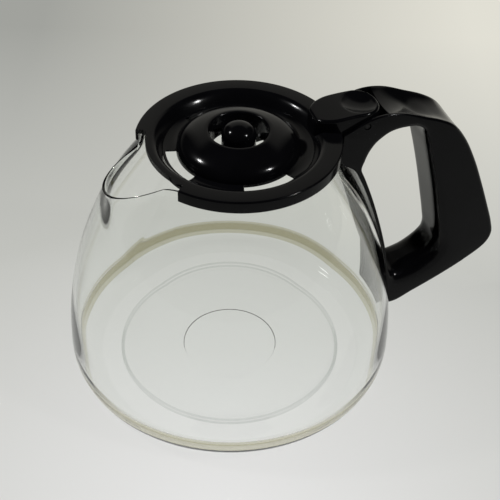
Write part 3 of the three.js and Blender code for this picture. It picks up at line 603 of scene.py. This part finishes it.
lid_line += [Vector((MOUND_FOOT - MOUND_INSET, BOWL_FLOOR - BOWL_SHELL)),
             Vector((LOCATING_RADIUS - SHELL, BOWL_FLOOR - BOWL_SHELL)),
             Vector((LOCATING_RADIUS - SHELL, LOCATING_LOW)), Vector((LOCATING_RADIUS, LOCATING_LOW)),
             Vector((LOCATING_RADIUS, RING_UNDER)), Vector((RING_RADIUS - SKIRT, RING_UNDER))]
lid = turned("lid_moulding", lid_line, LID_SEGMENTS, LID_OFFSET)

# Notch in the ring over the pouring lip, its inner corners rounded, turned a little off the handle's line.
NOTCH_RADIUS, NOTCH_HALF, NOTCH_TURN, NOTCH_CORNER = 40.6, math.radians(31.5), math.radians(6.5), 2.5


def plan_solid(name, plan, low, high):
    """A solid with an (x, y) outline, between two heights."""
    points = [(p.x * MM, p.y * MM, z * MM) for z in (low, high) for p in plan]
    return skin_of(name, points, 2, closed_rows=False)


def bent(a, b, c, steps):
    """Points of a curve from a to c that bends round b."""
    shares = [k / steps for k in range(steps + 1)]
    return [a * (1 - t) ** 2 + b * 2 * t * (1 - t) + c * t * t for t in shares]


NOTCH_STEPS, CUT_PAST = 24, 1.0
corner_turn = math.asin(NOTCH_CORNER / (NOTCH_RADIUS + NOTCH_CORNER))
notch_side = Vector((-math.cos(NOTCH_HALF), math.sin(NOTCH_HALF)))
corner_end = Vector((-math.cos(NOTCH_HALF - corner_turn), math.sin(NOTCH_HALF - corner_turn)))
half_notch = [notch_side * 2 * RING_RADIUS]
half_notch += bent(notch_side * (NOTCH_RADIUS + NOTCH_CORNER), notch_side * NOTCH_RADIUS,
                   corner_end * NOTCH_RADIUS, EDGE_STEPS)
for k in range(1, NOTCH_STEPS + 1):
    a = (NOTCH_HALF - corner_turn) * (1 - k / NOTCH_STEPS)
    half_notch.append(Vector((-math.cos(a), math.sin(a))) * NOTCH_RADIUS)
notch_plan = half_notch + [Vector((p.x, -p.y)) for p in half_notch[-2::-1]]
notch_plan = [Matrix.Rotation(NOTCH_TURN, 2) @ p + Vector((LID_OFFSET, 0)) for p in notch_plan]
join(lid, plan_solid("notch_room", notch_plan, SKIRT_BOTTOM - CUT_PAST, RING_TOP + CUT_PAST))

# Three drain slots at the foot of the mound, none on the hinge's side, and the four ribs of the nub, set a
# quarter turn apart round the lid's axis.
SLOT_HALF, SLOT_TURN = math.radians(22), math.radians(98)
SLOT_INNER, SLOT_OUTER = MOUND_FOOT + 0.1, BOWL_RADIUS - 1.0
RIB_THICKNESS, RIB_HEIGHT, RIB_TURN = 1.6, 2.8, math.radians(10)
NUB_RADIUS, NUB_TOP, NUB_DOME, NUB_SHELL, POLE = 7.6, 134.1, 5.6, 1.8, 0.02
circle, circle_inputs = start_tree("set_round_the_axis", "One", {
    "Count": "Int", "Turn": "Float", "Step": "Float", "Axis": "Vector", "Plastic": "Material"})
given = circle.nodes.new("NodeGroupInput").outputs
centres = add_node(circle, "GeometryNodePoints",
                   {"Count": given["Count"], "Position": given["Axis"]}).outputs[0]
index = circle.nodes.new("GeometryNodeInputIndex").outputs[0]
set_at = add_node(circle, "ShaderNodeMath", {0: index, 1: given["Step"], 2: given["Turn"]},
                  operation="MULTIPLY_ADD").outputs[0]
facing = add_node(circle, "ShaderNodeCombineXYZ", {"Z": set_at}).outputs[0]
every = add_node(circle, "GeometryNodeInstanceOnPoints",
                 {"Points": centres, "Instance": given["One"], "Rotation": facing}).outputs[0]
every = add_node(circle, "GeometryNodeRealizeInstances", {"Geometry": every}).outputs[0]
every = add_node(circle, "GeometryNodeSetMaterial",
                 {"Geometry": every, "Material": given["Plastic"]}).outputs[0]
circle.links.new(every, circle.nodes.new("NodeGroupOutput").inputs[0])


def repeat_round(one, count, turn):
    """Repeats a piece made at the axis at quarter turns round the lid."""
    run_tree(one, circle, circle_inputs, {"Count": count, "Turn": turn, "Step": math.pi / 2,
                                          "Axis": (LID_OFFSET * MM, 0, 0), "Plastic": plastic})
    return one


sector = []
for radius, way in ((SLOT_OUTER, 1), (SLOT_INNER, -1)):
    for k in range(-12, 13):
        a = way * SLOT_HALF * k / 12
        sector.append(Vector((math.cos(a), math.sin(a))) * radius)
drain = plan_solid("drain_slots", sector, BOWL_FLOOR - 2 * SHELL, BOWL_FLOOR + SHELL)
join(lid, repeat_round(drain, 3, SLOT_TURN))
rib_start = NUB_RADIUS - NUB_SHELL / 2
rib_plan = [Vector((rib_start, -RIB_THICKNESS / 2)), Vector((DRAIN_RADIUS, -RIB_THICKNESS / 2)),
            Vector((DRAIN_RADIUS, RIB_THICKNESS / 2)), Vector((rib_start, RIB_THICKNESS / 2))]
rib = plan_solid("nub_ribs", rib_plan, BOWL_FLOOR, BOWL_FLOOR + RIB_HEIGHT)
join(lid, repeat_round(rib, 4, RIB_TURN), "UNION")
# The nub is a thin dome on a short tube; its skins stop just short of the axis.
spring = NUB_TOP - NUB_DOME
nub_line = [Vector((NUB_RADIUS - NUB_SHELL, tube_low)), Vector((NUB_RADIUS, tube_low))]
for k in range(17):
    a = math.pi / 2 * k / 16
    nub_line.append(Vector((max(NUB_RADIUS * math.cos(a), POLE), spring + NUB_DOME * math.sin(a))))
for k in range(9):
    a = math.pi / 2 * (1 - k / 8)
    hollow = Vector(((NUB_RADIUS - NUB_SHELL) * math.cos(a), (NUB_DOME - NUB_SHELL) * math.sin(a)))
    nub_line.append(Vector((max(hollow.x, POLE), spring + hollow.y)))
join(lid, turned("nub", nub_line, 72, LID_OFFSET), "UNION")

# Tongue: its outline in plan, walls up to a rounded edge, a steep nose that grows out of the bowl's wall, a
# top dished for the thumb, and an underside with the barrel for the pin and a thin tail past it.
ROOT_INSET, TONGUE_TOP, TONGUE_EDGE, TAIL_UNDER, NOSE_FOOT = 12.0, 134.2, 1.3, 130.4, 122.6
NOSE_LOW, NOSE_STEEP, NOSE_EASE, BACK_INSET = 130.2, Vector((0, 1.7)), Vector((1.7, 0.3)), 0.36
NOSE_RUN, NOSE_TOP, RAMP_EASE, ROOT_LIFT = 3.1, 132.6, Vector((5.3, 0.9)), 0.23
FLARE, FLARE_EASE, BLUNT, HEART_BACK, HEART_SHARE, LEAST_WALL = 12.0, 3.6, 0.4, 4.0, 0.004, 0.1
DISH_X, DISH_RADIUS, DISH_DEPTH = PIN_X + 0.9, 8.8, 2.2
DISH_BALL = (DISH_RADIUS ** 2 + DISH_DEPTH ** 2) / (2 * DISH_DEPTH)
RAMP_STEPS, UNDER_STEPS, TOP_STEPS = 24, 40, 28
root = LID_OFFSET + RING_RADIUS - ROOT_INSET
root_under = RING_UNDER + ROOT_LIFT
nose_back = LID_OFFSET + LOCATING_RADIUS - BACK_INSET
nose_low, nose_top = Vector((root, NOSE_LOW)), Vector((root + NOSE_RUN, NOSE_TOP))
over_pin, before_pin = Vector((PIN_X, TONGUE_TOP)), Vector((PIN_X - 2 * BARREL, TONGUE_TOP))
ramp = [bezier(nose_low, nose_low + NOSE_STEEP, nose_top - NOSE_EASE, nose_top, k / RAMP_STEPS)
        for k in range(RAMP_STEPS + 1)]
ramp += [bezier(nose_top, nose_top + RAMP_EASE, before_pin, over_pin, k / RAMP_STEPS)
         for k in range(1, RAMP_STEPS + 1)]


def tongue_top(x, y):
    """Height of the tongue's top: the steep nose, the ramp up to the pin, and the thumb dish cut in."""
    height = TONGUE_TOP
    for low, high in zip(ramp, ramp[1:]):
        if low.x <= x < high.x:
            height = low.y + (high.y - low.y) * (x - low.x) / (high.x - low.x)
    if x < ramp[0].x:
        height = ramp[0].y
    off_dish = (x - DISH_X) ** 2 + y ** 2
    return height - max(math.sqrt(max(DISH_BALL ** 2 - off_dish, 0)) - DISH_BALL + DISH_DEPTH, 0)


def tongue_under(x):
    """Height of the tongue's underside: the nose's foot, the root, the barrel round the pin and the tail."""
    barrel = PIN_Z - math.sqrt(max(BARREL ** 2 - (x - PIN_X) ** 2, 0))
    if x < nose_back:
        return NOSE_FOOT
    if x < PIN_X:
        return min(root_under, barrel) if x > PIN_X - BARREL else root_under
    return min(barrel, TAIL_UNDER) if x < PIN_X + BARREL else TAIL_UNDER


flare = Vector((root + FLARE, -TONGUE_HALF))
tongue_side = bent(Vector((root, -BLUNT * TONGUE_HALF)), Vector((root + FLARE_EASE, -TONGUE_HALF)), flare, 16)
tongue_side += [Vector((flare.x + (PIN_X - flare.x) * k / 8, -TONGUE_HALF)) for k in range(1, 9)]
tail = [Vector((PIN_X + TONGUE_HALF * math.cos(a), TONGUE_HALF * math.sin(a)))
        for a in (math.pi * (k / 40 - 0.5) for k in range(1, 40))]
other_side = [Vector((p.x, -p.y)) for p in tongue_side[::-1]]
nose = [Vector((root, BLUNT * TONGUE_HALF * (1 - k / 4))) for k in range(1, 8)]
tongue_plan = tongue_side + tail + other_side + nose
# The skin grows in rings from the middle of the underside, up round the edge and in to the middle of the top.
heart = Vector((PIN_X - HEART_BACK, 0))
rings = []
for k in range(UNDER_STEPS + 1):
    grown_to = max(k / UNDER_STEPS, HEART_SHARE)
    rings.append([(heart + (p - heart) * grown_to, "under", 0) for p in tongue_plan])
for k in range(EDGE_STEPS + 1):
    a = math.pi / 2 * k / EDGE_STEPS
    ring = []
    for n, p in enumerate(tongue_plan):
        way = (tongue_plan[(n + 1) % len(tongue_plan)] - tongue_plan[n - 1]).normalized()
        inwards = Vector((-way.y, way.x)) * TONGUE_EDGE * (1 - math.cos(a))
        ring.append((p + inwards, "top", TONGUE_EDGE * (1 - math.sin(a))))
    rings.append(ring)
crown = rings[-1]
for k in range(1, TOP_STEPS + 1):
    shrunk_to = max(1 - k / TOP_STEPS, HEART_SHARE)
    rings.append([(heart + (p - heart) * shrunk_to, "top", 0) for p, _, _ in crown])
tongue_points = []
for ring in rings:
    for p, kind, below in ring:
        if kind == "under":
            z = tongue_under(p.x)
        else:
            z = max(tongue_top(p.x, p.y) - below, root_under + LEAST_WALL)
        tail_share = math.sqrt(max(TAIL_RADIUS ** 2 - (z - PIN_Z) ** 2, 0)) / TONGUE_HALF
        x = p.x if p.x < PIN_X else PIN_X + (p.x - PIN_X) * tail_share
        tongue_points.append((x * MM, p.y * MM, z * MM))
tongue = skin_of("tongue", tongue_points, len(rings), closed_rows=False)
join(tongue, across("pin_bore", pin_circle(PIN_RADIUS + PIN_CLEARANCE), 2 * HANDLE_HALF))
join(lid, tongue, "UNION")
finish_skin(lid, plastic)
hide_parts("lid")
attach(lid, "lid")

# Setting. A pale matt table top with painted light, brightest in front of the jug and far behind it on the
# right, and painted shade far behind it on the left, in a dim room with one pale wall beyond the jug and a
# pale band low all round. Two small lamps hang high at the sides.
# The camera has the photograph's height, turn and distance. Sizes of the table and lamps are in metres.
TURN = math.radians(-20)
VIEW_AWAY = Vector((-math.sin(TURN), math.cos(TURN), 0))
VIEW_RIGHT = Vector((math.cos(TURN), math.sin(TURN), 0))
TABLE_RADIUS, TABLE_DEPTH, TABLE_SIDES = 3.0, 0.02, 64
# Painted pool of light in front of the jug, and painted light and shade far behind: lighter right, darker
# left.
PAINTED_POOL_CENTRE, PAINTED_POOL_CORE, PAINTED_POOL_REACH = -0.12 * VIEW_AWAY, 0.02, 0.22
PAINTED_FAR_START, PAINTED_FAR_END, PAINTED_SHADE_LEFT, PAINTED_LIGHT_RIGHT = 0.05, 0.3, -0.14, 0.16
PAINTED_POOL_TINT, TABLE_TINT, FAR_LEFT_PAINTED_SHADE_TINT, FAR_RIGHT_PAINTED_LIGHT_TINT = "#e6e6e5", "#c4c5c0", "#a2a39e", "#e3e1d6"
SHOWN, THROUGH_GLASS = 0.94, 1.05
table_turns = [2 * math.pi * k / TABLE_SIDES for k in range(TABLE_SIDES)]
table_points = [(TABLE_RADIUS * math.cos(a), TABLE_RADIUS * math.sin(a), z)
                for z in (-TABLE_DEPTH, 0.0) for a in table_turns]
floor = skin_of("table_top", table_points, 2, closed_rows=False)

# Pale laminate, pressed matt: a light grey with no gloss, with a painted pool of light in front of the jug,
# painted light far behind on the right and painted shade far behind on the left. It shows its own colour to
# the eye, also in gloss and through glass, and keeps a share of plain shading for the carafe's shadow.
laminate, shade, skin, spot_on = start_material("pale_matt_laminate",
                                                {"Roughness": 0.9, "Specular IOR Level": 0.0})
table_away = add_node(shade, "ShaderNodeVectorMath", {0: spot_on, 1: VIEW_AWAY},
                      operation="DOT_PRODUCT").outputs["Value"]
table_right = add_node(shade, "ShaderNodeVectorMath", {0: spot_on, 1: VIEW_RIGHT},
                       operation="DOT_PRODUCT").outputs["Value"]
from_painted_pool = add_node(shade, "ShaderNodeVectorMath", {0: spot_on, 1: PAINTED_POOL_CENTRE},
                      operation="DISTANCE").outputs["Value"]
# Masks of the painted light and painted shade on the table.
painted_pool = add_node(shade, "ShaderNodeMapRange",
                 {"Value": from_painted_pool, "From Min": PAINTED_POOL_REACH, "From Max": PAINTED_POOL_CORE}).outputs[0]
painted_far_share = add_node(shade, "ShaderNodeMapRange",
                  {"Value": table_away, "From Min": PAINTED_FAR_START, "From Max": PAINTED_FAR_END}).outputs[0]
painted_light_rightward = add_node(shade, "ShaderNodeMapRange",
                     {"Value": table_right, "From Min": PAINTED_SHADE_LEFT, "From Max": PAINTED_LIGHT_RIGHT}).outputs[0]
near_tint_with_painted_pool = add_node(shade, "ShaderNodeMix", {"Factor": painted_pool, 6: linear(TABLE_TINT), 7: linear(PAINTED_POOL_TINT)},
                     data_type="RGBA").outputs[2]
far_painted_light_and_shade = add_node(shade, "ShaderNodeMix",
                    {"Factor": painted_light_rightward, 6: linear(FAR_LEFT_PAINTED_SHADE_TINT), 7: linear(FAR_RIGHT_PAINTED_LIGHT_TINT)},
                    data_type="RGBA").outputs[2]
table_tint_with_painted_light = add_node(shade, "ShaderNodeMix", {"Factor": painted_far_share, 6: near_tint_with_painted_pool, 7: far_painted_light_and_shade},
                      data_type="RGBA").outputs[2]
shade.links.new(table_tint_with_painted_light, skin.inputs["Base Color"])
light_path = shade.nodes.new("ShaderNodeLightPath").outputs
seen = add_node(shade, "ShaderNodeMath",
                {0: light_path["Is Camera Ray"], 1: light_path["Is Transmission Ray"]},
                operation="MAXIMUM").outputs[0]
seen = add_node(shade, "ShaderNodeMath", {0: seen, 1: light_path["Is Glossy Ray"]},
                operation="MAXIMUM").outputs[0]
shown = add_node(shade, "ShaderNodeMath", {0: seen, 1: SHOWN}, operation="MULTIPLY").outputs[0]
strength = add_node(shade, "ShaderNodeMapRange",
                    {"Value": light_path["Is Transmission Ray"], "To Min": 1.0, "To Max": THROUGH_GLASS})
glow = add_node(shade, "ShaderNodeEmission", {"Color": table_tint_with_painted_light, "Strength": strength.outputs[0]})
both = add_node(shade, "ShaderNodeMixShader", {0: shown, 1: skin.outputs[0], 2: glow.outputs[0]})
shade.links.new(both.outputs[0], shade.nodes["Material Output"].inputs["Surface"])
floor.data.materials.append(laminate)

# The room, by direction: each pair says where the far wall has faded out and where it is full. What is seen
# through the glass is as pale as the table.
ROOM_TINT, WALL_TINT, GLASS_VIEW_TINT = "#1a1a1b", "#c8c6be", "#cbccc7"
WALL_UP, WALL_AWAY, WALL_ASIDE = (0.77, 0.69), (0.05, 0.45), (0.56, 0.42)
LOW_BAND_TOP, LOW_BAND_SHARE = 0.25, 0.4
world = bpy.data.worlds.new("dim_room")
bpy.context.scene.world = world
world.use_nodes = True
shade = world.node_tree
sky = shade.nodes["Background"]
towards = shade.nodes.new("ShaderNodeTexCoord").outputs["Generated"]
up = add_node(shade, "ShaderNodeSeparateXYZ", {0: towards}).outputs["Z"]
away = add_node(shade, "ShaderNodeVectorMath", {0: towards, 1: VIEW_AWAY},
                operation="DOT_PRODUCT").outputs["Value"]
aside = add_node(shade, "ShaderNodeVectorMath", {0: towards, 1: VIEW_RIGHT},
                 operation="DOT_PRODUCT").outputs["Value"]
aside = add_node(shade, "ShaderNodeMath", {0: aside}, operation="ABSOLUTE").outputs[0]
far_wall = 1.0
for direction, (gone, full) in ((up, WALL_UP), (away, WALL_AWAY), (aside, WALL_ASIDE)):
    within = add_node(shade, "ShaderNodeMapRange",
                      {"Value": direction, "From Min": gone, "From Max": full}).outputs[0]
    far_wall = add_node(shade, "ShaderNodeMath", {0: far_wall, 1: within}, operation="MULTIPLY").outputs[0]
low_band = add_node(shade, "ShaderNodeMapRange",
                    {"Value": up, "From Min": LOW_BAND_TOP, "From Max": 0.0,
                     "To Max": LOW_BAND_SHARE}).outputs[0]
bright = add_node(shade, "ShaderNodeMath", {0: far_wall, 1: low_band}, operation="MAXIMUM").outputs[0]
room_tint = add_node(shade, "ShaderNodeMix", {"Factor": bright, 6: linear(ROOM_TINT), 7: linear(WALL_TINT)},
                     data_type="RGBA").outputs[2]
through_glass = shade.nodes.new("ShaderNodeLightPath").outputs["Is Transmission Ray"]
room_tint = add_node(shade, "ShaderNodeMix",
                     {"Factor": through_glass, 6: room_tint, 7: linear(GLASS_VIEW_TINT)},
                     data_type="RGBA").outputs[2]
shade.links.new(room_tint, sky.inputs["Color"])

LAMP_SIZE, LAMP_POWER, LAMP_AIM = 0.1, 7, Vector((0, 0, 0.1))
for name, hung_at in (("lamp_left", (-0.72, 0.06, 0.86)), ("lamp_right", (0.74, -0.3, 0.82))):
    lamp = bpy.data.lights.new(name, "AREA")
    lamp.shape, lamp.size, lamp.energy = "DISK", LAMP_SIZE, LAMP_POWER
    lamp_object = bpy.data.objects.new(name, lamp)
    spot = Matrix.Rotation(TURN, 3, "Z") @ Vector(hung_at)
    aim = (spot - LAMP_AIM).to_track_quat("Z", "Y").to_matrix().to_4x4()
    lamp_object.matrix_world = Matrix.Translation(spot) @ aim
    bpy.context.scene.collection.objects.link(lamp_object)

ELEVATION, DISTANCE, ROLL = math.radians(41.23), 603.71, math.radians(1.53)
SIDE_SHIFT, UP_SHIFT, FOCAL_PIXELS, FRAME_PIXELS = 9.0, 47.38, 1200, 500
ahead = Vector((0, math.cos(ELEVATION), -math.sin(ELEVATION)))
right = Vector((1, 0, 0))
upward = right.cross(ahead)
stand = -DISTANCE * ahead + SIDE_SHIFT * right + UP_SHIFT * upward
rolled_right = math.cos(ROLL) * right + math.sin(ROLL) * upward
rolled_up = math.cos(ROLL) * upward - math.sin(ROLL) * right
axes = Matrix.Rotation(TURN, 3, "Z") @ Matrix((rolled_right, rolled_up, -ahead)).transposed()
lens = bpy.data.cameras.new("photo_camera")
lens.sensor_width = 36
lens.lens = FOCAL_PIXELS / FRAME_PIXELS * lens.sensor_width
lens.clip_start = 0.01
camera = bpy.data.objects.new("photo_camera", lens)
camera.matrix_world = Matrix.Translation(Matrix.Rotation(TURN, 3, "Z") @ stand * MM) @ axes.to_4x4()
bpy.context.scene.collection.objects.link(camera)
bpy.context.scene.camera = camera
bpy.context.scene.view_settings.view_transform = "Standard"
